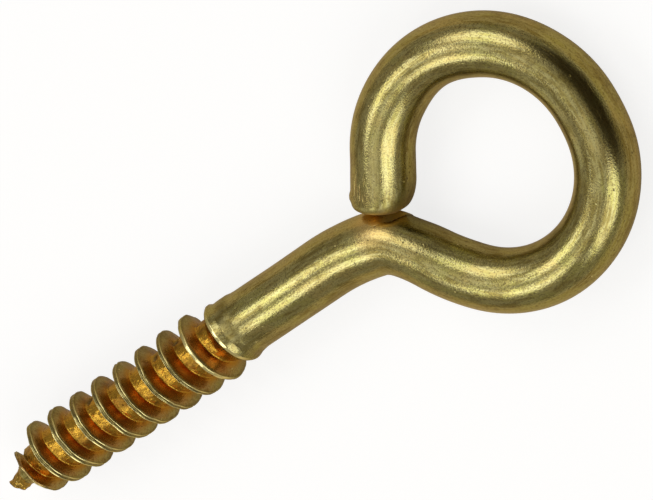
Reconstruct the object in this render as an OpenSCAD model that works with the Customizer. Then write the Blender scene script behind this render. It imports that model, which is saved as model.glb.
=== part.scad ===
// Brass screw eye: one length of drawn wire with a rolled wood-screw thread,
// a cranked neck and an eye bent round until its free end all but meets the neck.
// The shank lies along the X axis with its point toward -X, and the eye lies flat in
// the XY plane. The origin is on the shank's axis, where the plain shank ends.

/* [Wire] */
// Diameter of the drawn wire
wire_d = 3.4; // [3.2:0.05:3.6]
// Length of plain shank from the neck to the blank of the thread
plain_l = 5.0; // [4:0.1:20]

/* [Neck] */
// Centreline radius where the neck first leans away from the shank
neck_lead_r = 12.5; // [9:0.5:16]
// Angle of that first lean
neck_lead_a = 16; // [12:1:20]
// Centreline radius of the tight crank, just over half the wire
neck_crank_r = 2.0; // [1.9:0.1:3]
// Angle of the tight crank
neck_crank_a = 30; // [26:1:32]
// Centreline radius where the neck runs out of the crank
neck_out_r = 8.0; // [6:0.1:10]
// Angle of that run-out
neck_out_a = 14; // [12:1:16]

/* [Eye] */
// Centreline radius where the wire swings back toward the eye
swing_r = 11.2; // [10:0.2:13]
// Angle of that swing
swing_a = 14.5; // [12:0.5:17]
// Centreline radius of the near part of the eye
near_r = 5.95; // [5.8:0.05:6.4]
// Angle of the near part of the eye
near_a = 122.5; // [118:0.5:124]
// Centreline radius of the slightly flat spot at the far side of the eye
flat_r = 8.2; // [7:0.1:9]
// Angle of the flat spot
flat_a = 12; // [8:1:14]
// Centreline radius of the last part of the eye
far_r = 6.05; // [5.8:0.05:6.4]
// Angle of the last part of the eye
far_a = 146; // [140:1:148]
// Straight length at the free end, up to its cropped face
free_end_l = 3.0; // [2.4:0.1:3.1]
// Rounding of the cropped end's edge
free_end_round = 0.45; // [0.4:0.05:1]
// How far the slanted face reaches up the side of the cropped end
crop_l = 1.75; // [0.5:0.05:2]
// Angle of the slanted face to the wire
crop_a = 26; // [15:1:60]

/* [Thread] */
// Distance from one crest to the next
pitch = 1.62; // [1.5:0.01:1.8]
// Turns of crest, from the lip on the shank to the torn end at the point
turns = 9.8; // [6:0.1:12]
// Radius of the lip that the rolling dies raise at the end of the plain shank
lip_r = 1.83; // [1.78:0.01:1.95]
// Radius of the root between the turns
root_r = 1.36; // [1.2:0.02:1.5]
// Radius of the crest next to the shank
crest_top_r = 2.17; // [2:0.01:2.3]
// Radius of the crest next to the point, where the wire filled the dies less
crest_low_r = 2.0; // [1.8:0.01:2.2]
// Width of the flat on the crest next to the shank
land_top_w = 0.16; // [0.1:0.02:0.3]
// Width of the flat on the crest next to the point
land_low_w = 0.38; // [0.3:0.02:0.6]
// Depth of the rolled seam along the middle of the crest
seam_depth = 0.06; // [0:0.01:0.1]
// Width of the flat at the root
root_w = 0.74; // [0.6:0.02:0.8]

/* [Point] */
// Length of the stub that is left of the gimlet point
stub_l = 1.9; // [1:0.1:3]
// Diameter of the stub where it leaves the thread
stub_d = 1.25; // [0.8:0.05:1.4]
// Diameter of the stub's broken end
stub_end_d = 0.75; // [0.5:0.05:1]
// Sideways lean of the stub
stub_lean = 5; // [0:1:20]
// How far the stub stands off the shank's axis
stub_shift = 0.2; // [0:0.05:0.3]
// Slant of the stub's broken end
stub_slant_a = 30; // [0:1:40]

/* [Hidden] */
brass = "darkgoldenrod";
wire_r = wire_d/2;
wire_fn = 72;                // sides of the wire as drawn on screen
hair = 0.006;                // how far a knuckle's radius goes beyond the wire's
gap = 0.03;                  // from the middle of a knuckle to the bend on each side of it
steps = 44;                  // angular steps in one turn of the thread
collar_r = wire_r + 0.012;   // the blank is a hair wider, so that it covers the wire's end
collar_l = 0.4;              // how far the wire runs on inside the blank
lip_z = 0.85;                // from the top of the blank to the start of the lip
start_angle = 180;           // where the lip starts, turned about the shank from +Z
lip_turns = 0.3;             // turns in which the lip rises out of the shank
crest_turns = [0.75, 1.25];  // turns over which the lip grows into a full crest
groove_turns = [0.4, 1];     // turns over which the groove sinks to its full depth
fade_turns = 1.2;            // turns in which the core narrows toward the point
root_late = 0.15;            // turns by which the root narrows later than that
crest_late = 0.35;           // and the crest
sharp_turns = [7.6, 9.4];    // turns over which the flat on the crest closes to an edge
edge_w = 0.1;                // width of the flat that is left there
tear_turns = 0.25;           // turns in which the torn end of the crest drops away
core_end_r = 0.5;            // radius of the core under the stub
blank_l = lip_z + pitch*(turns + 0.35);

// ---- the thread's form ---------------------------------------------------------------
// A place on the thread is given by t, its distance in turns from the start of the lip.

function clamp(t) = min(1, max(0, t));
function mix(a, b, t) = a + (b - a)*clamp(t);
function ease(t) = let (c = clamp(t)) c*c*(3 - 2*c);

// Root and crest both start at the blank and fall away to the core at the point
function over(t, span) = ease((t - span[0])/(span[1] - span[0]));
function narrow(t, late) = 1 - over(t - late, [turns - fade_turns, turns + 0.3]);
function torn(t) = 1 - over(t, [turns, turns + tear_turns]);
function full_crest(t) = mix(crest_top_r, crest_low_r, (t - 1)/(turns - 4));
function lip_at(t) = mix(collar_r, lip_r, over(t, [0, lip_turns]));
function crest_at(t) = core_end_r
    + (mix(lip_at(t), full_crest(t), over(t, crest_turns)) - core_end_r)*narrow(t, crest_late)*torn(t);
function root_at(t) = core_end_r
    + (mix(collar_r, root_r, over(t, groove_turns)) - core_end_r)*narrow(t, root_late);

// Half the crest's flat and half the root's flat, as parts of a pitch
function land_w(t) = mix(mix(land_top_w, land_low_w, t/turns), edge_w, over(t, sharp_turns));
function land(t) = land_w(t)/2/pitch;
root = root_w/2/pitch;

// The profile across one pitch: [place, height], from root to crest to root.
// The height runs from 0 at the root to 1 at the crest's edges, with the seam between.
seam = 1 - seam_depth/(crest_top_r - root_r);
function profile(t) = let (c = land(t), f = 0.5*(root + 0.5 - c)) [
    [root, 0], [f, 0.5], [0.5 - c, 1], [0.5, seam], [0.5 + c, 1], [1 - f, 0.5], [1 - root, 0]
];
rows_per_turn = len(profile(0));

// Row i runs along the helix. Column j is an angular step, and the column after the
// last is the first column again, one turn of rows further on.
function row_turn(i) = floor(i/rows_per_turn) - 2;
function row_point(i, j) = profile(row_turn(i) + j/steps)[i%rows_per_turn];
function row_t(i, j) = row_turn(i) + j/steps + row_point(i, j)[0] - 0.5;
function row_z(i, j) = lip_z + pitch*row_t(i, j);
function radius(t, height) = root_at(t) + (crest_at(t) - root_at(t))*height;

last_row = rows_per_turn*ceil(turns + 4) - 1;
top = 0;                     // first index of the ring round the top of the blank
bottom = steps;              // first index of the ring round its lower end
function ring_point(r, z, j) = let (a = start_angle + 360*j/steps) [r*cos(a), r*sin(a), z];
function index(i, j) =
    j == steps ? index(i + rows_per_turn, 0) :
    row_z(i, j) <= 0 ? top + j :
    row_z(i, j) >= blank_l ? bottom + j :
    2*steps + i*steps + j;
function triangles(a, b, c, d) = [
    if (a != b && b != c && a != c) [a, b, c],
    if (a != c && c != d && a != d) [a, c, d]
];

// The blank with its thread, from z = 0 at the shank down to z = blank_l at the point
module threaded_blank() {
    points = [
        for (j = [0:steps - 1]) ring_point(collar_r, 0, j),
        for (j = [0:steps - 1]) ring_point(core_end_r, blank_l, j),
        for (i = [0:last_row], j = [0:steps - 1])
            ring_point(radius(row_t(i, j), row_point(i, j)[1]), row_z(i, j), j)
    ];
    faces = [
        [for (j = [0:steps - 1]) top + j],
        [for (j = [0:steps - 1]) bottom + steps - 1 - j],
        for (i = [0:last_row - 1], j = [0:steps - 1])
            each triangles(index(i, j), index(i + 1, j), index(i + 1, j + 1), index(i, j + 1))
    ];
    polyhedron(points, faces);
}

// What is left of the gimlet point: a leaning stub, broken off at a slant
module broken_point() {
    translate([0, -stub_shift, 0]) rotate([stub_lean, 0, 0]) difference() {
        cylinder(h = stub_l, d1 = stub_d, d2 = stub_end_d, $fn = 32);
        translate([0, stub_end_d/2, stub_l - 0.05]) rotate([stub_slant_a, 0, 0])
            translate([-stub_d, -2*stub_d, 0]) cube([2*stub_d, 3*stub_d, stub_d]);
    }
}

module threaded_shank() {
    color(brass) translate([-plain_l, 0, 0]) rotate([0, -90, 0]) {
        threaded_blank();
        translate([0, 0, blank_l - 1.0]) broken_point();
    }
}

// ---- the bent wire -------------------------------------------------------------------

module plain_shank() {
    color(brass) translate([-gap, 0, 0]) rotate([0, -90, 0])
        cylinder(h = plain_l + collar_l - gap, r = wire_r, $fn = wire_fn);
}

// The bends in order from the plain shank. A positive angle turns the wire toward +Y.
bends = [
    [neck_lead_r, -neck_lead_a], [neck_crank_r, -neck_crank_a], [neck_out_r, -neck_out_a],
    [swing_r, swing_a], [near_r, near_a], [flat_r, flat_a], [far_r, far_a]
];

// Where bend i starts, as [x, y, heading], each bend carrying on from the one before
function start(i) = i == 0 ? [0, 0, 0] :
    let (s = start(i - 1), r = bends[i - 1][0]*sign(bends[i - 1][1]), h = s[2] + bends[i - 1][1])
    [s[0] + r*(sin(h) - sin(s[2])), s[1] - r*(cos(h) - cos(s[2])), h];

module along_wire(i) {
    s = start(i);
    translate([s[0], s[1], 0]) rotate([0, 0, s[2]]) children();
}

// One bend, from the origin along +X, short of both its ends by the gap
module bend(radius, angle) {
    side = sign(angle);
    gap_a = gap/radius*180/PI;
    translate([0, side*radius, 0])
        rotate_extrude(start = (side > 0 ? -90 : 90 + angle) + gap_a,
                       angle = abs(angle) - 2*gap_a, $fn = 2*wire_fn)
            translate([radius, 0]) circle(r = wire_r, $fn = wire_fn);
}

// A ball at each change of bend, a hair larger than the wire, joins the two bends there,
// so that no two ends have to meet face to face.
module knuckle() {
    rotate([0, 90, 0]) sphere(r = wire_r + hair, $fn = wire_fn);
}

// The end of the wire, from the origin along +X. Its edge is rounded over, and the
// cutter's second blade has left a slanted face on the side of the eye.
module free_end() {
    f = free_end_round;
    difference() {
        rotate([0, 90, 0]) rotate_extrude($fn = wire_fn) {
            translate([0, gap]) square([wire_r, free_end_l - f - gap]);
            square([wire_r - f, free_end_l]);
            intersection() {
                translate([wire_r - f, free_end_l - f]) circle(r = f, $fn = 48);
                square([wire_r, free_end_l]);
            }
        }
        translate([free_end_l - crop_l, wire_r, 0]) rotate([0, 0, -crop_a])
            translate([0, 0, -wire_d]) cube([wire_d, wire_d, 2*wire_d]);
    }
}

module neck_and_eye() {
    color(brass) {
        for (i = [0:len(bends) - 1]) along_wire(i) bend(bends[i][0], bends[i][1]);
        for (i = [0:len(bends)]) along_wire(i) knuckle();
        along_wire(len(bends)) free_end();
    }
}

module screw_eye() {
    threaded_shank();
    plain_shank();
    neck_and_eye();
}

screw_eye();
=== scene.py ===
# %% [markdown]
# # A brass screw eye
# A screw eye is one length of drawn brass wire. Dies roll a wood-screw thread on one end,
# and the other end is cranked sideways and bent round into an eye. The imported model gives
# its sizes and is loaded here as a fixed frame. This lesson makes the same wire again with
# far more detail, gives it a worn brass finish, and lights it like a small product.

# %% Load the fixed frame
import math

import bmesh
import bpy
import numpy as np
from mathutils import Matrix, Vector, noise


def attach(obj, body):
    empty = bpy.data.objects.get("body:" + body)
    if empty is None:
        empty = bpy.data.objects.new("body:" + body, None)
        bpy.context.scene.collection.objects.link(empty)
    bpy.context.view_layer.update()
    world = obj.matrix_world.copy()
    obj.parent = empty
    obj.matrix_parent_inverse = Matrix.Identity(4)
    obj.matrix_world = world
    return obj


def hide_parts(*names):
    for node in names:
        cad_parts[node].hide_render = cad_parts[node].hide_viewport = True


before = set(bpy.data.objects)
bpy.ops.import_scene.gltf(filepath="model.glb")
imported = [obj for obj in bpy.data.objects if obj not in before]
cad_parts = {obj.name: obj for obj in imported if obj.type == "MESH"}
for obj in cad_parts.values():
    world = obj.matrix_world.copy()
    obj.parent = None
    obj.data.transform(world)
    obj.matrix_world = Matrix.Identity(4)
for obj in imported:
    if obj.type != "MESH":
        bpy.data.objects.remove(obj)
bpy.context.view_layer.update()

MM = 0.001

# %% [markdown]
# ## The line of the wire
# The middle line of the wire is a chain of arcs, each starting where the last one ended and
# heading the same way, just as a wire former bends it round one post after another. A Bezier
# curve could follow the same line, but arcs keep the bend radii that the part is made with.
# Lengths are in millimetres up to the moment when the mesh is made, and s is the distance
# along the wire from the end of the plain shank.

# %% The bends, in order from the plain shank
WIRE_RADIUS = 1.7
PLAIN_LENGTH = 5.0
BENDS = [  # (radius of the middle line, angle turned toward the eye's side +Y)
    (12.5, -16.0),   # the neck leans away
    (2.0, -30.0),    # the tight crank
    (8.0, -14.0),    # and out of it
    (11.2, 14.5),    # the wire swings back
    (5.95, 122.5),   # near part of the eye
    (8.2, 12.0),     # a slightly flat spot
    (6.05, 146.0),   # the rest of the eye
]
FREE_END = 3.0


def bend_starts():
    """(s, x, y, heading, signed radius) where each bend starts, and the straight free end."""
    s, x, y, heading = 0.0, 0.0, 0.0, 0.0
    rows = []
    for radius, angle in BENDS:
        turned = math.radians(angle)
        signed = math.copysign(radius, turned)
        rows.append((s, x, y, heading, signed))
        x += signed * (math.sin(heading + turned) - math.sin(heading))
        y -= signed * (math.cos(heading + turned) - math.cos(heading))
        heading += turned
        s += radius * abs(turned)
    return rows + [(s, x, y, heading, 0.0)]


STARTS = bend_starts()
END_S = STARTS[-1][0] + FREE_END


def wire_line(s):
    """x, y and heading of the middle line at each distance in s."""
    s = np.asarray(s, float)
    x, y, heading = s.copy(), np.zeros_like(s), np.zeros_like(s)
    for s0, x0, y0, h0, radius in STARTS:
        here = s >= s0
        along = s[here] - s0
        h = h0 + (along / radius if radius else 0 * along)
        x[here] = x0 + (radius * (np.sin(h) - math.sin(h0)) if radius else along * math.cos(h0))
        y[here] = y0 - (radius * (np.cos(h) - math.cos(h0)) if radius else -along * math.sin(h0))
        heading[here] = h
    return x, y, heading


def on_wire(s, angle, radius):
    """Points at an angle round the wire. Angle 0 is toward +Z, and 90 degrees is toward
    the inside of the eye."""
    x, y, heading = wire_line(s)
    inward = radius * np.sin(angle)
    return np.stack([x - np.sin(heading) * inward, y + np.cos(heading) * inward,
                     radius * np.cos(angle)], -1)


print("wire from the end of the shank to the cut end, mm:", round(END_S, 2))

# %% [markdown]
# ## Marks of the making
# Bending, gripping and cropping leave a real wire a little out of round. Each mark is a
# gentle bump or hollow in the radius, at one place along the wire and one angle round it.
# One hollow is there for clearance: the cut end all but touches the neck, and without it the
# two would run into each other. A small flat beside it has crisp edges instead of soft ones.
# Sculpting them by hand would work too, but a short list keeps every mark easy to change.

# %% Bumps and hollows in the wire
MARKS = [  # (s, angle in degrees, half length, half width in degrees, height)
    (33.2, 90, 1.9, 55, -0.13),      # flattened by the forming post, inside the eye
    (41.45, 300, 0.25, 18, 0.11),    # burr where the cropping blade broke out
    (40.9, 268, 0.9, 40, 0.045),     # wire spread by the blade
    (3.4, 90, 1.3, 60, 0.03),        # outside of the crank, stretched
    (6.0, 90, 1.7, 60, -0.075),      # and beyond it, drawn thin
    (5.0, 88, 1.1, 55, -0.12),       # pressed in where the cut end bears on the neck
    (4.1, 270, 0.5, 30, 0.035),      # inside of the crank, folded up
    (37.6, 300, 1.4, 50, 0.02),      # gentle waves left by bending
    (27.0, 250, 1.8, 60, -0.03),
    (21.0, 268, 1.5, 60, 0.03),
    (16.0, 255, 2.0, 60, -0.025),
    (-2.5, 60, 1.6, 60, -0.02),
    (39.6, 34, 2.2, 24, -0.035),     # flattened a little by the vice
]


def falloff(distance, reach):
    c = np.clip(1 - np.abs(distance) / reach, 0, 1)
    return c * c * (3 - 2 * c)


def around(angle, degrees):
    """How far an angle is from another one, in degrees, the short way round."""
    return (np.degrees(angle) - degrees + 180) % 360 - 180


def wire_radius(s, angle):
    r = WIRE_RADIUS + 0 * s + 0 * angle
    for s0, degrees, length, width, height in MARKS:
        r = r + height * falloff(s - s0, 1.6 * length) * falloff(around(angle, degrees), 1.6 * width)
    return r


# a small flat pressed beside the cut end; degrees round the wire, millimetres along it
FLAT_FACES, FLAT_REACH = 70.0, 45.0        # where it faces, and how far round it may go
FLAT_LOW, FLAT_LOW_AT = 48.0, 4.1          # its lower edge, at this place along the wire,
FLAT_RISE, FLAT_LOW_EDGE = 20.0, 3         # climbs this much a millimetre, this soft
FLAT_START, FLAT_START_EDGE = 3.85, 0.3
FLAT_END, FLAT_END_EDGE = 4.48, 0.09
FLAT_LEAN, FLAT_LEAN_FROM, FLAT_LEAN_OVER = 0.2, 62, 26
FLAT_DEPTH = 0.93                          # distance from the wire's middle, in radii


def pressed_flat(s, angle):
    """1 on the little flat, 0 elsewhere."""
    low_edge = FLAT_LOW + FLAT_RISE * (s - FLAT_LOW_AT)
    end = FLAT_END + FLAT_LEAN * (np.degrees(angle) % 360 - FLAT_LEAN_FROM) / FLAT_LEAN_OVER
    above = np.clip((np.degrees(angle) % 360 - low_edge) / FLAT_LOW_EDGE, 0, 1)
    before = np.clip((end - s) / FLAT_END_EDGE, 0, 1)
    start = np.clip((s - FLAT_START) / FLAT_START_EDGE, 0, 1)
    return above * before * start * (np.abs(around(angle, FLAT_FACES)) < FLAT_REACH)


print("marks on the wire:", len(MARKS))

# %% [markdown]
# ## The thread
# A rolled wood-screw thread is coarse: a flat root, steep sides, and a crest that the dies
# fill less and less toward the point, which leaves a seam along the top of the crest. A
# screw modifier would repeat one profile, but here the profile changes all the way, so the
# thread is written as functions of t, the number of turns from where its lip starts.

# %% How high the thread stands, turn by turn
PITCH = 1.62
TURNS = 9.8
LIP_START = 0.85          # from the top of the blank
START_ANGLE = math.pi     # where the lip starts, round the wire
COLLAR_R, LIP_R = WIRE_RADIUS, 1.83
ROOT_R, ROOT_WIDTH = 1.36, 0.74
CREST_TOP_R, CREST_LOW_R = 2.17, 2.0
LAND_TOP, LAND_LOW, LAND_TORN = 0.16, 0.38, 0.2
FLARE, FLARE_START, FLARE_LENGTH = 0.07, 5.25, 0.6   # the shank swells toward the thread
CORE_END_R = 0.68
CORE_TAPER = 0.4          # the end of the core slopes away on the side of the eye
BLANK = LIP_START + PITCH * (TURNS + 0.22)


def mix(a, b, t):
    return a + (b - a) * np.clip(t, 0, 1)


def over(t, start, end):
    """0 before start and 1 after end, with a smooth step between them."""
    c = np.clip((t - start) / (end - start), 0, 1)
    return c * c * (3 - 2 * c)


def flare(s):
    return FLARE * np.clip((-s - FLARE_START) / FLARE_LENGTH, 0, 1) ** 2


def crest_radius(t):
    lip = mix(COLLAR_R, LIP_R, over(t, 0, 0.3))
    full = mix(CREST_TOP_R, CREST_LOW_R, (t - 1) / (TURNS - 4))
    grown = mix(lip, full, over(t, 0.75, 1.25))
    return CORE_END_R + (grown - CORE_END_R) * (1 - over(t, TURNS - 0.9, TURNS + 0.62))


def root_radius(t):
    cut = mix(COLLAR_R, ROOT_R, over(t, 0.4, 1))
    return CORE_END_R + (cut - CORE_END_R) * (1 - over(t, TURNS - 1.5, TURNS + 0.6))


def half_land(t):
    """Half the width of the crest's flat, in pitches."""
    land = mix(mix(LAND_TOP, LAND_LOW, t / TURNS), LAND_TORN, over(t, 7.6, 9.4))
    return land / 2 / PITCH


print("thread depth, mm:", round(CREST_TOP_R - ROOT_R, 2), "turns:", TURNS)

# %% [markdown]
# ## Across one pitch
# The profile runs from the middle of one root to the middle of the next. Two rims with a
# shallow seam between them make the crest, and the sides are a little hollow, because the
# dies are ground with rounded corners.


# %% The profile of the thread
def thread_profile(t):
    """[(place in the pitch, height from 0 at the root to 1 at the crest)] at turn t."""
    c = half_land(t)
    root = mix(ROOT_WIDTH, ROOT_WIDTH + 0.26, over(t, 9.1, 9.6)) / 2 / PITCH
    side = 0.5 - c - root
    seam = float(over(c, 0.02, 0.06) * over(t, 1.4, 2.4))
    worn = float(over(t, 8.7, 9.3))
    up = [
        (0.4 * root, 0.0), (0.8 * root, 0.0), (root, 0.01), (root + 0.05 * side, 0.07),
        (root + 0.24 * side, 0.25), (root + 0.48 * side, 0.47), (root + 0.72 * side, 0.71),
        (root + 0.93 * side, 0.925), (0.5 - c, 0.96 - 0.06 * worn),
        (0.5 - 0.84 * c, 1.0 - 0.05 * worn), (0.5 - 0.70 * c, 0.99 - 0.03 * worn),
        (0.5 - 0.54 * c, 1 - 0.05 * seam),
    ]
    return [(0.0, 0.0)] + up + [(0.5, 1 - 0.055 * seam)] + [(1 - p, h) for p, h in reversed(up)]


ROWS = len(thread_profile(0.0))
print("points across one pitch:", ROWS)

# %% [markdown]
# ## One skin for the whole wire
# The wire and the thread share one grid. Columns run round the wire and rows run along it.
# On the thread the rows follow the helix, so every crest stays sharp with few faces. Rows
# that would start above the blank meet in the last ring of the plain wire.

# %% A place to collect the skin
COLUMNS = 128
ANGLES = START_ANGLE + 2 * math.pi * np.arange(COLUMNS) / COLUMNS
points, places = [], []
notes = {"depth": [], "flank": [], "rubbed": [], "rough": [], "warm": [], "dirt": [],
         "scored": [], "matte": []}


def wobble(places_mm, size, seed):
    """Smooth noise from -1 to 1 at points given in millimetres."""
    shift = Vector((seed * 17.3, seed * 5.1, -seed * 9.7))
    return np.array([noise.noise(Vector(p) / size + shift) for p in places_mm])


def straight(s, angle, radius):
    """The same point on the wire before it was bent. The finish is laid out on it."""
    s, angle, radius = np.broadcast_arrays(s, angle, radius)
    return np.stack([s, radius * np.cos(angle), radius * np.sin(angle)], -1)


def patch(s, angle, where):
    """A soft patch on the wire: (s, angle in degrees, half length, half width in degrees)."""
    s0, degrees, length, width = where
    return falloff(s - s0, 1.5 * length) * falloff(around(angle, degrees), 1.5 * width)


CRANK_SKIN = (5.2, 15, 1.2, 60)        # skin roughened by the tight bend
GLOW = (3.8, 50, 0.9, 44)              # painted glow: an orange reflection of the cut end, painted on the neck where it rests
SHADE = (5.6, 62, 0.8, 26)             # painted shadow on the neck beyond it
VICE = (39.6, 12, 2.8, 60)             # painted highlight: a paler patch that widens the lamp's streak on the free end
GRIP = (40.8, 331, 0.65, 16)           # and scored by the edge of the vice


def add_ring(s, angle, radius, shift=(0.0, 0.0, 0.0), **marked):
    first = len(points)
    s = np.broadcast_to(np.asarray(s, float), (COLUMNS,))
    points.extend(on_wire(s, angle, radius) + np.stack(np.broadcast_arrays(*shift), -1))
    places.extend(straight(s, angle, radius))
    for name, values in notes.items():
        values.extend(np.broadcast_to(marked.get(name, 0.0), (COLUMNS,)))
    return first


# %% [markdown]
# ## The cut end
# The wire was cropped, not sawn. One side of the end is dragged over in a long curve where
# the blade came through, and the other keeps a small, full corner. The depth and the length
# of that curve change with the angle round the wire.

# %% Rings of the plain wire, from the cut end to the thread
CAP_STEPS = 16
inside = 0.5 + 0.5 * np.sin(ANGLES)            # 1 on the side of the eye, 0 outside
corner_in = mix(0.36, 0.95, inside**4)         # how far the corner is drawn in
corner_long = mix(0.42, 1.95, inside**4)       # and how long its curve is
face_rings = 6
for k in range(1, face_rings + 1):
    share = k / (face_rings + 1)
    r = share * (wire_radius(END_S - 0.2, ANGLES) - corner_in)
    rough = 0.02 * wobble(straight(END_S, ANGLES, r), 0.3, 1)
    # the cut face gets a painted glow, an orange reflection painted where it faces the neck
    add_ring(END_S + 0.03 * (1 - share**2) + rough, ANGLES, r, rough=0.8, warm=0.8)
for k in range(CAP_STEPS + 1):
    turn = 0.5 * math.pi * (1 - k / CAP_STEPS)
    s = END_S - corner_long * (1 - math.sin(turn))
    # round the corner the painted glow fades, and the corner turns darker and matte as it rounds over
    add_ring(s, ANGLES, wire_radius(s, ANGLES) - corner_in * (1 - math.cos(turn)),
             rough=0.5 * math.sin(turn), warm=0.8 * math.sin(turn) ** 3,
             matte=math.sin(turn) ** 0.5, dirt=0.15 * math.sin(turn))
# rings of the plain wire, closer together where the cut end has pressed the neck
ring_places = np.concatenate([
    np.arange(END_S - 2.2, 5.6, -0.2), np.arange(5.5, 3.2, -0.08),
    np.arange(3.1, -4.2, -0.2), np.arange(-4.3, -PLAIN_LENGTH + 0.05, -0.1), [-PLAIN_LENGTH]])
slant = END_S - corner_long - (END_S - 2.0)
for k, even in enumerate(ring_places):
    # the slanting rings even out as they leave the cut end
    s = even + slant * (1 - over(k + 1, 0, 40))
    flat = pressed_flat(s, ANGLES)
    # the next mask paints a shadow along the far edge of the pressed flat
    edge = np.clip(pressed_flat(s - 0.08, ANGLES + math.radians(5)) - flat, 0, 1)
    facing = np.radians(np.clip(around(ANGLES, FLAT_FACES), -25, 25))
    pressed = flat * WIRE_RADIUS * (FLAT_DEPTH / np.cos(facing) - 1)
    # painted shadow beyond the cut end and along the flat's edge, a painted glow where the cut end
    # rests, and a painted highlight on the flat and on the free end
    add_ring(s, ANGLES, wire_radius(s, ANGLES) + flare(s) + pressed,
             dirt=0.12 * patch(s, ANGLES, SHADE) + 0.7 * edge,
             rough=0.3 * patch(s, ANGLES, CRANK_SKIN),
             warm=0.8 * patch(s, ANGLES, GLOW) * (1 - flat) * (1 - edge),
             matte=flat,
             rubbed=0.6 * flat + 0.34 * patch(s, ANGLES, VICE),
             scored=patch(s, ANGLES, GRIP))
RINGS = len(points) // COLUMNS
print("rings on the plain wire:", RINGS)

# %% [markdown]
# ## Rows of the thread
# Each row is one line of the profile followed down the helix. The last turn of the crest is
# torn off, so its end is cut away unevenly and leaves a spike that leans toward the point.

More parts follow.
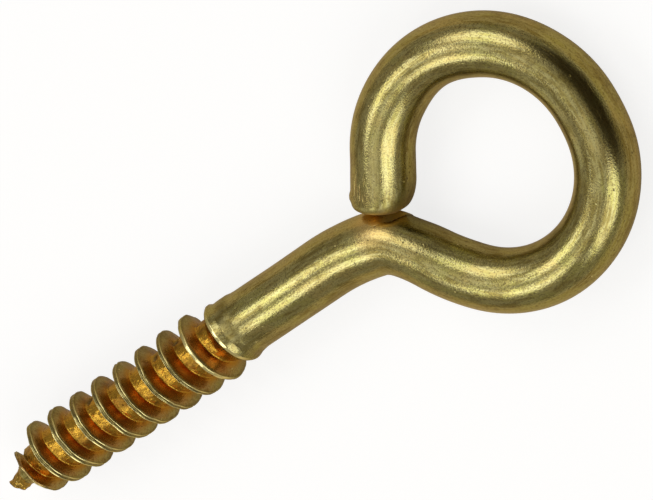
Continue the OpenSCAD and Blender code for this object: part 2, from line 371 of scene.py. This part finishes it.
# %% Lay the rows down the helix
FIRST_ROW, LAST_ROW = -2 * ROWS, ROWS * (math.ceil(TURNS) + 2)
TOP_RING = (RINGS - 1) * COLUMNS
part_turn = np.arange(COLUMNS) / COLUMNS
thread_z, thread_first = {}, {}
NICKS = [(-11.1, 62), (-9.62, 68), (-16.0, 65)]   # (s, angle in degrees): knocks in the roots
NICK_ALONG, NICK_ROUND, NICK_DEPTH = 0.24, 0.42, 0.12
KNOB_S, KNOB_ANGLE, KNOB_HEIGHT = -21.15, 85, 0.11   # metal heaped up at the torn turn
for i in range(FIRST_ROW, LAST_ROW):
    turn, k = divmod(i, ROWS)
    profile = [thread_profile(turn + f)[k] for f in part_turn]
    place_in_pitch = np.array([p for p, _ in profile])
    height = np.array([h for _, h in profile])
    crest_turn = turn + part_turn
    t = crest_turn + place_in_pitch - 0.5
    s = -PLAIN_LENGTH - LIP_START - PITCH * t
    cutting = 0.3 * np.abs(place_in_pitch - 0.49) + 0.05 * falloff(place_in_pitch - 0.39, 0.06)
    torn = np.where(place_in_pitch > 0.5, over(crest_turn, 8.9, 9.5),
                    over(crest_turn + cutting, 9.72, 9.77))
    thin = 3 * over(crest_turn, 9.5, 9.68) * (place_in_pitch < 0.5)
    height = height ** (1 + thin)
    radius = root_radius(t) + (crest_radius(t) - root_radius(t)) * height * (1 - torn)
    radius = radius + flare(s) * (1 - over(t, 0.3, 1.0))
    sloped = CORE_TAPER * over(t, 9.4, 10.0) * falloff(around(ANGLES, 90), 120)
    radius = radius * (1 - sloped * (1 - height * (1 - torn)))
    spots = straight(s, ANGLES, radius)
    formed = over(t, 0.4, 1.0)
    crest_line = straight(-PITCH * crest_turn, ANGLES, np.full(COLUMNS, 2.0))
    hammered = 0.016 * wobble(spots, 0.3, 2) + 0.016 * wobble(spots, 0.16, 7)
    uneven = 0.028 * wobble(crest_line, 0.7, 3) + 0.012 * wobble(crest_line, 0.25, 9)
    radius = radius + formed * (hammered * (1 - height) + uneven * height)
    s = s + formed * height * 0.05 * wobble(crest_line, 0.6, 4)
    eye_flank = place_in_pitch < 0.5
    # painted shade: darker in the crease under each rim and on the sides of the thread turned away
    # from +Z; the seam along the crest is darker too
    dirt = 0.55 * falloff(height - 0.925, 0.04)
    dirt = dirt + 0.12 * over(around(ANGLES, 0), 25, 60) * over(height, 0.2, 0.5)
    dirt = dirt + 0.3 * (np.abs(place_in_pitch - 0.5) < 0.6 * half_land(t)) * over(t, 1.4, 2.4)
    dirt = dirt * (1 - over(t, 8.6, 9.2))
    knob = falloff(s - KNOB_S, 0.3) * falloff(around(ANGLES, KNOB_ANGLE), 45)
    radius = radius + KNOB_HEIGHT * knob * (1 - height)
    for nick_s, nick_angle in NICKS:
        round_it = around(ANGLES, nick_angle) * radius / 57.3      # millimetres
        reach = np.hypot((s - nick_s) / NICK_ALONG, round_it / NICK_ROUND)
        nick = np.clip(1.4 - 1.4 * reach + 0.6 * wobble(spots, 0.12, 5), 0, 1) * (reach < 1)
        radius = radius - NICK_DEPTH * nick
        # each nick is darker as well
        dirt = dirt + nick
    # darker and matte near the lip
    dull = over(-s, 5.35, 5.75) * (1 - over(t, 0.1, 0.4))
    tip = over(t, 9.1, 9.6)
    lean = 0.22 * over(crest_turn, 9.55, 9.75) * height**2 * (1 - torn)
    eye_side = eye_flank * (1 - over(height, 0.88, 0.95)) * over(height, 0.0, 0.06)
    up_or_down = falloff(around(ANGLES, -8), 88) + falloff(around(ANGLES, 172), 88)
    # painted glow: an orange reflection painted on the middle of the flanks on the side of the eye,
    # where they face about -14 degrees
    glow = 0.8 * falloff(height - 0.5, 0.42) * falloff(around(ANGLES, -14), 48)
    on_land = np.abs(place_in_pitch - 0.5) / half_land(t)
    # rims: paler for wear, and paler still as a painted highlight on the eye side and where they face
    # about -12 degrees
    rim = over(height, 0.93, 0.965) * np.maximum(over(on_land, 0.56, 0.68), 1 - over(t, 1.4, 2.4))
    rim = rim * np.where(eye_flank, 1.2, 0.9) * mix(0.05, 1.0, falloff(around(ANGLES, -12), 80) * 1.7)
    # painted shade: the flanks on the side of the eye get a dark red-brown, most where they face up
    # or down round the wire
    browned = eye_side * formed * (0.15 * (1 - height) + 0.85 * up_or_down)
    thread_z[i] = -PLAIN_LENGTH - s
    thread_first[i] = add_ring(
        s, ANGLES, radius, shift=(-lean, -0.04 * over(t, 0.5, 2.0), 0.0),
        dirt=np.clip(dirt, 0, 1) * formed + 0.3 * dull,
        depth=(1 - height) * formed * (1 - 0.5 * tip), flank=(1 - 0.4 * tip) * browned,
        warm=0.35 * glow * eye_side * formed,
        rubbed=np.clip(rim, 0, 1) * over(t, 0.0, 0.5), matte=0.3 * dull,
        rough=1.6 * formed * (1 - over(height, 0.02, 0.3)) + 0.3 * dull)
END_RING = add_ring(-PLAIN_LENGTH - BLANK, ANGLES,
                    CORE_END_R * (1 - CORE_TAPER * falloff(around(ANGLES, 90), 120)),
                    shift=(0.0, -0.04, 0.0), depth=0.85, rough=1.5)
print("rows of the thread:", LAST_ROW - FIRST_ROW)

# %% [markdown]
# ## The broken point
# A gimlet point is the last thing the dies form. This one has snapped, and a short ragged
# stub is left beside the middle of the shank. Its rings grow out of the end of the core,
# and noise makes them as rough as torn metal.

# %% The stub that is left
STUB_STEPS = 18
STUB = [  # (distance from the end of the core, offset toward -Y, radius)
    (0.0, 0.20, 0.60), (0.2, 0.27, 0.54), (0.5, 0.33, 0.49), (0.8, 0.36, 0.43), (1.05, 0.33, 0.36),
]
STUB_SLANT = math.tan(math.radians(31))
stub_first = []
table = np.array(STUB)
for k in range(1, STUB_STEPS + 1):
    share = k / STUB_STEPS
    out = share * table[-1, 0]
    off = np.interp(out, table[:, 0], table[:, 1])
    r = np.interp(out, table[:, 0], table[:, 2])
    ring = np.full(COLUMNS, r)
    spots = straight(-PLAIN_LENGTH - BLANK - out, ANGLES, ring)
    tear = 0.4 + 0.6 * share
    ring = ring * (1 + tear * (0.16 * wobble(spots, 0.45, 4) + 0.2 * wobble(spots, 0.2, 5)))
    sideways = -off + ring * np.sin(ANGLES)
    # the end breaks at a slant: the +Y side is longest
    cut = np.minimum(out, 1.02 + STUB_SLANT * (sideways + 0.05)) if k > STUB_STEPS // 2 else out
    cut = cut + 0.05 * share * wobble(spots + 3.3, 0.22, 6)
    grime = share**0.5 * np.clip(0.1 + 1.3 * wobble(spots, 0.2, 7), 0, 0.7)
    stub_first.append(add_ring(-PLAIN_LENGTH - BLANK - cut, ANGLES, ring, depth=0.78,
                               rough=1.5, dirt=grime, shift=(0.0, -off, 0.0)))
print("rings of the stub:", len(stub_first))

# %% [markdown]
# ## Faces
# The rings of the wire and the rows of the thread are joined into four-sided faces. A row
# that has come round once carries on as the row one pitch further down, which is what makes
# the thread a helix. A fan of triangles closes the cut end, and another the stub.


# %% Join the points with faces
def thread_point(i, j):
    if j == COLUMNS:
        return thread_point(i + ROWS, 0)
    if thread_z[i][j] <= 0:
        return TOP_RING + j
    if thread_z[i][j] >= BLANK:
        return END_RING + j
    return thread_first[i] + j


def ring_faces(a, b):
    for j in range(COLUMNS):
        n = (j + 1) % COLUMNS
        yield (a + j, b + j, b + n, a + n)


def fan(ring, flip):
    """Closes a ring with one point in its middle."""
    middle = len(points)
    ring_points = range(ring, ring + COLUMNS)
    points.append(np.mean([points[p] for p in ring_points], 0))
    places.append(np.mean([places[p] for p in ring_points], 0))
    for values in notes.values():
        values.append(values[ring])
    for j in range(COLUMNS):
        a, b = ring + j, ring + (j + 1) % COLUMNS
        yield (middle, b, a) if flip else (middle, a, b)


faces = list(fan(0, False))
for r in range(RINGS - 1):
    faces.extend(ring_faces(r * COLUMNS, (r + 1) * COLUMNS))
for i in range(FIRST_ROW, LAST_ROW - ROWS - 1):
    for j in range(COLUMNS):
        corners = [thread_point(i, j), thread_point(i + 1, j),
                   thread_point(i + 1, j + 1), thread_point(i, j + 1)]
        corners = list(dict.fromkeys(corners))
        if len(corners) > 2:
            faces.append(corners)
for a, b in zip([END_RING] + stub_first, stub_first):
    faces.extend(ring_faces(a, b))
faces.extend(fan(stub_first[-1], True))
print("faces on the skin:", len(faces))

# %% [markdown]
# ## From points to a mesh
# The mesh keeps notes for the finish: the place of each point on the straight wire, how deep
# it lies in the thread, the painted shade on the thread's eye-side flanks, where it is rubbed
# or carries a painted highlight, where it is rough, where a painted glow falls, where it is
# dirty or darkened by painted shade, and where it is scored or matte. Points that no face
# uses are the thread rows beyond the blank, and they are taken away.

# %% Make the mesh
mesh = bpy.data.meshes.new("brass_screw_eye")
mesh.from_pydata([tuple(p * MM) for p in points], [], faces)
note = mesh.attributes.new("straight_wire", "FLOAT_VECTOR", "POINT")
note.data.foreach_set("vector", (np.array(places) * MM).astype(np.float32).ravel())
for name, values in notes.items():
    note = mesh.attributes.new(name, "FLOAT", "POINT")
    note.data.foreach_set("value", np.array(values, np.float32))
eye = bpy.data.objects.new("brass_screw_eye", mesh)
bpy.context.scene.collection.objects.link(eye)

bm = bmesh.new()
bm.from_mesh(mesh)
bmesh.ops.delete(bm, geom=[v for v in bm.verts if not v.link_faces], context="VERTS")
bmesh.ops.recalc_face_normals(bm, faces=bm.faces)
print("open edges:", sum(len(e.link_faces) != 2 for e in bm.edges),
      "triangles:", sum(len(f.verts) - 2 for f in bm.faces),
      "volume, mm3:", round(bm.calc_volume() / MM**3, 1))
bm.to_mesh(mesh)
bm.free()
mesh.shade_smooth()
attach(eye, "root")
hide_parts("screw_eye")

# %% [markdown]
# ## Nodes with less typing
# A shader is a small graph. These helpers add a node, set its plain inputs and link the
# others, so that each finish below reads like a recipe.


# %% Helpers for shader nodes
def put(tree, kind, links=None, values=None, **settings):
    node = tree.nodes.new(kind)
    for key, value in settings.items():
        setattr(node, key, value)
    for key, value in (values or {}).items():
        node.inputs[key].default_value = value
    for key, socket in (links or {}).items():
        tree.links.new(socket, node.inputs[key])
    return node


def math_node(tree, operation, a, b, clamp=False):
    node = put(tree, "ShaderNodeMath", operation=operation, use_clamp=clamp)
    for n, value in enumerate((a, b)):
        if isinstance(value, (int, float)):
            node.inputs[n].default_value = value
        else:
            tree.links.new(value, node.inputs[n])
    return node.outputs[0]


def ramp(tree, value, low, high, start=0.0, end=1.0):
    """Maps low to high onto start to end, smoothly."""
    node = put(tree, "ShaderNodeMapRange", {"Value": value}, interpolation_type="SMOOTHSTEP")
    for key, number in (("From Min", low), ("From Max", high), ("To Min", start), ("To Max", end)):
        node.inputs[key].default_value = number
    return node.outputs[0]


def stretch(tree, vector, scale, turn=0.0):
    """Coordinates for a pattern: more to the metre on each axis, after a turn in radians."""
    node = put(tree, "ShaderNodeMapping", {"Vector": vector}, vector_type="POINT")
    node.inputs["Scale"].default_value = scale
    node.inputs["Rotation"].default_value = (0.0, 0.0, turn)
    return node.outputs[0]


def mix_colour(tree, factor, a, b, blend="MIX"):
    node = put(tree, "ShaderNodeMix", {"Factor": factor}, data_type="RGBA", blend_type=blend)
    for key, value in (("A", a), ("B", b)):
        socket = [i for i in node.inputs if i.name == key and i.type == "RGBA"][0]
        if isinstance(value, tuple):
            socket.default_value = value
        else:
            tree.links.new(value, socket)
    return [o for o in node.outputs if o.type == "RGBA"][0]


def new_group(name, inputs, outputs):
    """An empty shader node group with named sockets: (name, kind, default or None)."""
    tree = bpy.data.node_groups.new(name, "ShaderNodeTree")
    for title, kind, default in inputs:
        socket = tree.interface.new_socket(title, in_out="INPUT", socket_type=kind)
        if default is not None:
            socket.default_value = default
    for title, kind in outputs:
        tree.interface.new_socket(title, in_out="OUTPUT", socket_type=kind)
    return tree, tree.nodes.new("NodeGroupInput").outputs, tree.nodes.new("NodeGroupOutput").inputs


FLOAT, COLOUR, VECTOR = "NodeSocketFloat", "NodeSocketColor", "NodeSocketVector"
print("node helpers ready")

# %% [markdown]
# ## Grain of drawn metal
# Drawing wire through a die leaves a satin skin: very fine pits that sparkle, and faint
# streaks along the wire. The grain is noise in the straight wire's coordinates, stretched
# along it for the streaks, so it follows every bend.

# %% Group: satin grain
tree, given, result = new_group(
    "satin_grain", [("Place", VECTOR, None), ("Coarseness", FLOAT, 1.0)],
    [("Height", FLOAT), ("Speckle", FLOAT), ("Streaks", FLOAT), ("Cloud", FLOAT),
     ("Patches", FLOAT)])
fine = put(tree, "ShaderNodeTexNoise", {"Vector": given["Place"]},
           {"Scale": 11000.0, "Detail": 2.0, "Roughness": 0.6})
peel = put(tree, "ShaderNodeTexNoise", {"Vector": given["Place"]},
           {"Scale": 4200.0, "Detail": 2.0, "Roughness": 0.55})
streak = put(tree, "ShaderNodeTexNoise",
             {"Vector": stretch(tree, given["Place"], (900.0, 7000.0, 7000.0))},
             {"Scale": 1.0, "Detail": 3.0, "Roughness": 0.6})
cloud = put(tree, "ShaderNodeTexNoise",
            {"Vector": stretch(tree, given["Place"], (500.0, 900.0, 900.0))},
            {"Scale": 1.0, "Detail": 5.0, "Roughness": 0.65})
height = math_node(tree, "ADD", fine.outputs["Fac"],
                   math_node(tree, "MULTIPLY", peel.outputs["Fac"], given["Coarseness"]))
height = math_node(tree, "ADD", height, math_node(tree, "MULTIPLY", streak.outputs["Fac"], 0.35))
tree.links.new(height, result["Height"])
tree.links.new(fine.outputs["Fac"], result["Speckle"])
tree.links.new(streak.outputs["Fac"], result["Streaks"])
tree.links.new(cloud.outputs["Fac"], result["Cloud"])
patches = put(tree, "ShaderNodeTexNoise", {"Vector": given["Place"]},
              {"Scale": 420.0, "Detail": 3.0, "Roughness": 0.6})
tree.links.new(patches.outputs["Fac"], result["Patches"])
print("group:", tree.name)

# %% [markdown]
# ## Handling marks
# Screw eyes are tumbled, poured and bagged loose, so each one carries small pits, hairline
# scratches and specks that other pieces have burnished. Voronoi cells scatter them: a pit or
# a speck is the middle of a cell, a scratch is a cell drawn out long and thin, and a random
# number per cell leaves most of them out. The scores of the vice are stretched noise.

# %% Group: pits and scratches
tree, given, result = new_group(
    "pits_and_scratches", [("Place", VECTOR, None), ("Amount", FLOAT, 0.5)],
    [("Pits", FLOAT), ("Scratches", FLOAT), ("Score", FLOAT), ("Specks", FLOAT)])


def scattered(vector, radius, kept):
    """A mask of spots: cells of a Voronoi pattern, of which only some are kept."""
    cells = put(tree, "ShaderNodeTexVoronoi", {"Vector": vector}, {"Scale": 1.0, "Randomness": 1.0})
    spot = ramp(tree, cells.outputs["Distance"], radius, radius * 0.5)
    pick = put(tree, "ShaderNodeSeparateColor", {"Color": cells.outputs["Color"]})
    limit = math_node(tree, "MULTIPLY", given["Amount"], kept)
    chosen = math_node(tree, "LESS_THAN", pick.outputs["Red"], limit)
    return math_node(tree, "MULTIPLY", spot, chosen)


pits = scattered(stretch(tree, given["Place"], (3600.0, 4200.0, 4200.0)), 0.24, 0.16)
specks = scattered(stretch(tree, given["Place"], (2900.0, 3100.0, 3100.0), 0.7), 0.16, 0.07)
tree.links.new(specks, result["Specks"])
hair_a = scattered(stretch(tree, given["Place"], (500.0, 9000.0, 9000.0), 0.5), 0.3, 0.09)
hair_b = scattered(stretch(tree, given["Place"], (700.0, 11000.0, 11000.0), -0.9), 0.3, 0.07)
tree.links.new(pits, result["Pits"])
score = put(tree, "ShaderNodeTexNoise",
            {"Vector": stretch(tree, given["Place"], (900.0, 7500.0, 7500.0), 0.06)},
            {"Scale": 1.0, "Detail": 1.0})
tree.links.new(ramp(tree, score.outputs["Fac"], 0.5, 0.62), result["Score"])
tree.links.new(math_node(tree, "MAXIMUM", hair_a, hair_b), result["Scratches"])
print("group:", tree.name)

# %% [markdown]
# ## Brass
# Brass is a metal, so its colour lives in the reflection: the base colour is what the
# surface reflects straight back. Handling has left it satin. A warm tarnish stays in the
# thread, where nothing rubs it off, and rims and corners are rubbed bright. Light is painted
# in as well: painted highlights on the rims and the free end, painted shade on the flanks
# and in the creases, and a painted glow and a painted shadow by the cut end.


# %% A brass finish from the groups
def noted(tree, name):
    kind = "Vector" if name == "straight_wire" else "Fac"
    return put(tree, "ShaderNodeAttribute", attribute_name=name).outputs[kind]


OLIVE = (0.44, 0.405, 0.124, 1)
TANNED = (0.47, 0.385, 0.135, 1)
BROWNER = (0.29, 0.235, 0.066, 1)
PALE_STREAK = (0.54, 0.50, 0.23, 1)
ROOT_GOLD = (0.55, 0.31, 0.034, 1)
ROOT_SHADE = (0.26, 0.13, 0.016, 1)
# the next colour is painted shade, a dark red-brown for the flanks on the side of the eye
FLANK_BROWN = (0.44, 0.084, 0.004, 1)
# the next colour is the painted glow by the cut end and in the thread, and also the stain in the
# vice's scores
STAIN = (0.74, 0.50, 0.18, 1)
# the next colour is rubbed wear and specks, and also a painted highlight on the rims, the flat and
# the free end
RUBBED = (0.98, 0.87, 0.40, 1)
# the next colour darkens pits and dirt, and also paints shade
PIT = (0.12, 0.085, 0.025, 1)


def brass(name, coarseness, marks, roughness, bump):
    material = bpy.data.materials.new(name)
    material.use_nodes = True
    tree = material.node_tree
    shader = tree.nodes["Principled BSDF"]
    place, depth = noted(tree, "straight_wire"), noted(tree, "depth")
    rough_skin = noted(tree, "rough")
    grain = put(tree, "ShaderNodeGroup", {"Place": place},
                node_tree=bpy.data.node_groups["satin_grain"])
    wear = put(tree, "ShaderNodeGroup", {"Place": place}, {"Amount": marks},
               node_tree=bpy.data.node_groups["pits_and_scratches"])
    coarse = math_node(tree, "ADD", math_node(tree, "MULTIPLY", rough_skin, 3.0), coarseness)
    tree.links.new(coarse, grain.inputs["Coarseness"])

    # colour: olive brass with browner clouds and pale streaks
    cloud = ramp(tree, grain.outputs["Cloud"], 0.46, 0.61)
    hue = mix_colour(tree, ramp(tree, grain.outputs["Patches"], 0.38, 0.62), TANNED, OLIVE)
    colour = mix_colour(tree, cloud, hue, BROWNER)
    streaks = ramp(tree, grain.outputs["Streaks"], 0.38, 0.66, 0.0, 0.6)
    colour = mix_colour(tree, streaks, colour, PALE_STREAK)
    speckle = ramp(tree, grain.outputs["Speckle"], 0.52, 0.34, 0.0, 0.5)
    colour = mix_colour(tree, speckle, colour, PIT)
    # the thread: golden roots with darker pits, and painted shade, a dark red-brown, on the flanks on
    # the side of the eye
    gold = mix_colour(tree, ramp(tree, grain.outputs["Cloud"], 0.48, 0.66), ROOT_GOLD, ROOT_SHADE)
    colour = mix_colour(tree, ramp(tree, depth, 0.35, 0.95), colour, gold)
    colour = mix_colour(tree, noted(tree, "flank"), colour, FLANK_BROWN)
    # painted shade and dirt go toward the pit colour, then the painted glow, then rubbed wear with
    # its painted highlights
    colour = mix_colour(tree, noted(tree, "dirt"), colour, PIT)
    colour = mix_colour(tree, noted(tree, "warm"), colour, STAIN)
    colour = mix_colour(tree, ramp(tree, noted(tree, "rubbed"), 0.1, 0.9), colour, RUBBED)
    scores = math_node(tree, "MULTIPLY", wear.outputs["Score"], noted(tree, "scored"))
    colour = mix_colour(tree, math_node(tree, "MULTIPLY", scores, 0.7), colour, STAIN)
    colour = mix_colour(tree, math_node(tree, "MULTIPLY", wear.outputs["Pits"], 0.6), colour, PIT)
    colour = mix_colour(tree, wear.outputs["Specks"], colour, RUBBED)
    tree.links.new(colour, shader.inputs["Base Color"])

    # gloss: rougher where it is cloudy or deep, smoother on rubbed rims
    rough = math_node(tree, "ADD", math_node(tree, "MULTIPLY", cloud, 0.06), roughness)
    rough = math_node(tree, "ADD", rough, math_node(tree, "MULTIPLY", depth, 0.06))
    rough = math_node(tree, "ADD", rough, math_node(tree, "MULTIPLY", noted(tree, "warm"), 0.12))
    rough = math_node(tree, "ADD", rough, math_node(tree, "MULTIPLY", noted(tree, "matte"), 0.3))
    smooth = math_node(tree, "MULTIPLY", noted(tree, "rubbed"), 0.05)
    rough = math_node(tree, "SUBTRACT", rough, smooth, True)
    tree.links.new(rough, shader.inputs["Roughness"])
    shader.inputs["Metallic"].default_value = 1.0
    shader.inputs["Specular Tint"].default_value = (1.0, 0.92, 0.78, 1)
    shader.inputs["Coat Weight"].default_value = 0.12
    shader.inputs["Coat Roughness"].default_value = 0.3

    # relief: grain up, pits and scratches down
    height = math_node(tree, "SUBTRACT", grain.outputs["Height"],
                       math_node(tree, "MULTIPLY", wear.outputs["Pits"], 1.2))
    height = math_node(tree, "SUBTRACT", height,
                       math_node(tree, "MULTIPLY", wear.outputs["Scratches"], 0.35))
    height = math_node(tree, "ADD", height, math_node(tree, "MULTIPLY", wear.outputs["Specks"], 2.5))
    height = math_node(tree, "SUBTRACT", height,
                       math_node(tree, "MULTIPLY", scores, 12.0))
    worn_off = math_node(tree, "MULTIPLY", noted(tree, "rubbed"), 0.75)
    rolled_smooth = math_node(tree, "MULTIPLY", noted(tree, "flank"), 0.5)
    strength = math_node(tree, "SUBTRACT", 1.0, worn_off)
    strength = math_node(tree, "SUBTRACT", strength, rolled_smooth, True)
    relief = put(tree, "ShaderNodeBump", {"Height": height, "Strength": strength}, {"Distance": bump})
    tree.links.new(relief.outputs["Normal"], shader.inputs["Normal"])
    return material


mesh.materials.append(brass("drawn_brass", 0.3, 0.5, 0.175, 9e-6))
print("finish:", mesh.materials[0].name)

# %% [markdown]
# ## Floor and surroundings
# The part lies on a plain pale floor. The floor and the world are white where the camera
# looks straight at them or through something clear, and the shadow stays on the floor. The
# brass sees hardly any of that white (ROOM_IN_BRASS) and mirrors a warm grey world and a tan
# floor instead, because a white room on every side washes its shape away. It is a choice:
# at 1.0 the brass shows the true white room.


# %% A white that keeps the brass readable
ROOM_IN_BRASS = 0.04      # share of the white that glossy rays see
FLOOR_BELOW = 2.19        # millimetres under the middle of the wire


def seen_share(tree, direct, in_gloss):
    """How much of the plain white a ray sees, by the kind of ray."""
    path = put(tree, "ShaderNodeLightPath")
    clear = math_node(tree, "ADD", path.outputs["Is Camera Ray"],
                      path.outputs["Is Transmission Ray"], True)
    shine = math_node(tree, "MULTIPLY", path.outputs["Is Glossy Ray"], in_gloss)
    return math_node(tree, "ADD", math_node(tree, "MULTIPLY", clear, direct), shine, True)


floor_mesh = bpy.data.meshes.new("studio_floor")
floor_mesh.from_pydata([(-2, -2, 0), (2, -2, 0), (2, 2, 0), (-2, 2, 0)], [], [(0, 1, 2, 3)])
floor = bpy.data.objects.new("studio_floor", floor_mesh)
bpy.context.scene.collection.objects.link(floor)
floor.location.z = -FLOOR_BELOW * MM
pale = bpy.data.materials.new("pale_floor")
pale.use_nodes = True
tree = pale.node_tree
tree.nodes.remove(tree.nodes["Principled BSDF"])
path = put(tree, "ShaderNodeLightPath")
tone = mix_colour(tree, path.outputs["Is Camera Ray"], (0.76, 0.64, 0.44, 1), (0.30, 0.30, 0.30, 1))
lit = put(tree, "ShaderNodeBsdfDiffuse", {"Color": tone})
plain = put(tree, "ShaderNodeEmission", {"Strength": seen_share(tree, 0.8, ROOM_IN_BRASS)})
both = tree.nodes.new("ShaderNodeAddShader")
tree.links.new(lit.outputs[0], both.inputs[0])
tree.links.new(plain.outputs[0], both.inputs[1])
tree.links.new(both.outputs[0], tree.nodes["Material Output"].inputs["Surface"])
floor_mesh.materials.append(pale)

world = bpy.data.worlds.new("studio")
bpy.context.scene.world = world
world.use_nodes = True
tree = world.node_tree
share = seen_share(tree, 1.0, ROOM_IN_BRASS)
tone = mix_colour(tree, share, (0.29, 0.262, 0.215, 1), (1, 1, 1, 1))
tree.links.new(tone, tree.nodes["Background"].inputs["Color"])
print("floor and world ready")

# %% [markdown]
# ## Lamps
# Small shiny things are lit with a few soft lamps round them and a dark card held beside
# the camera. Each lamp shows in the wire as a pale streak, and the card as the
# dark band that makes metal look like metal. A lamp is given by its direction, so that it
# is easy to see where its streak will fall.


# %% Soft lamps round the part
def direction(from_up, azimuth):
    up, az = math.radians(from_up), math.radians(azimuth)
    return Vector((math.sin(up) * math.cos(az), math.sin(up) * math.sin(az), math.cos(up)))


def soft_lamp(name, from_up, azimuth, spread, level, away=0.9):
    """A round lamp: its direction, the half angle that it fills, and how bright it looks."""
    toward = direction(from_up, azimuth)
    radius = away * math.tan(math.radians(spread))
    data = bpy.data.lights.new(name, "AREA")
    data.shape = "DISK"
    data.size = 2 * radius
    data.energy = level * (math.pi * radius) ** 2
    lamp = bpy.data.objects.new(name, data)
    lamp.location = toward * away
    lamp.rotation_mode = "QUATERNION"
    lamp.rotation_quaternion = toward.to_track_quat("Z", "Y")
    lamp.visible_camera = False
    bpy.context.scene.collection.objects.link(lamp)


for lamp in [
    ("left_lamp", 42, 84, 17, 1.64), ("right_lamp", 46, -72, 20, 1.68),
    ("back_left_lamp", 37, 144, 11, 2.25), ("back_right_lamp", 37, -151, 11, 2.05),
    ("overhead_panel", 10, 180, 20, 0.42), ("low_back_panel", 75, 180, 16, 0.35),
]:
    soft_lamp(*lamp)

CARD_X, CARD_Y, CARD_AWAY = 0.62, 0.40, 0.6      # half sizes and distance, metres
card_mesh = bpy.data.meshes.new("dark_card")
card_mesh.from_pydata([(-CARD_X, -CARD_Y, 0), (CARD_X, -CARD_Y, 0),
                       (CARD_X, CARD_Y, 0), (-CARD_X, CARD_Y, 0)], [], [(0, 1, 2, 3)])
card = bpy.data.objects.new("dark_card", card_mesh)
bpy.context.scene.collection.objects.link(card)
toward = direction(53, 2)
card.location = toward * CARD_AWAY
card.rotation_mode = "QUATERNION"
card.rotation_quaternion = toward.to_track_quat("Z", "Y")
card.visible_camera = False
black = bpy.data.materials.new("black_card")
black.use_nodes = True
tree = black.node_tree
shader = tree.nodes["Principled BSDF"]
shader.inputs["Base Color"].default_value = (0.06, 0.051, 0.043, 1)
shader.inputs["Roughness"].default_value = 0.9
across = put(tree, "ShaderNodeTexCoord").outputs["Object"]
oval = put(tree, "ShaderNodeVectorMath", {0: stretch(tree, across, (1 / CARD_X, 1 / CARD_Y, 1.0))},
           operation="LENGTH").outputs["Value"]
tree.links.new(ramp(tree, oval, 1.0, 0.55), shader.inputs["Alpha"])
card_mesh.materials.append(black)

# %% [markdown]
# ## The camera
# The camera looks down on the part from the side of the eye, with a long lens, as one does
# to keep a small thing in true shape. Its tilt, its roll and its distance are plain
# numbers, and a small shift frames the part.

# %% Camera at the viewing angle
TILT_X, TILT_Y, ROLL = 27.657, -0.989, 33.507
CAMERA_AWAY = 0.28
FRAME_WIDTH = 653
camera_data = bpy.data.cameras.new("camera")
camera = bpy.data.objects.new("camera", camera_data)
bpy.context.scene.collection.objects.link(camera)
axes = (Matrix.Rotation(math.radians(TILT_X), 3, "Y")
        @ Matrix.Rotation(-math.radians(TILT_Y), 3, "X")
        @ Matrix.Rotation(-math.radians(ROLL), 3, "Z"))
camera.matrix_world = Matrix.Translation(axes.col[2] * CAMERA_AWAY) @ axes.to_4x4()
camera_data.sensor_width = 36
camera_data.lens = 297.2
camera_data.shift_x = 0.7 / FRAME_WIDTH
camera_data.shift_y = 18.1 / FRAME_WIDTH
camera_data.clip_end = 10
bpy.context.scene.camera = camera
bpy.context.scene.view_settings.view_transform = "Standard"
print("camera at", [round(v, 4) for v in camera.matrix_world.translation])
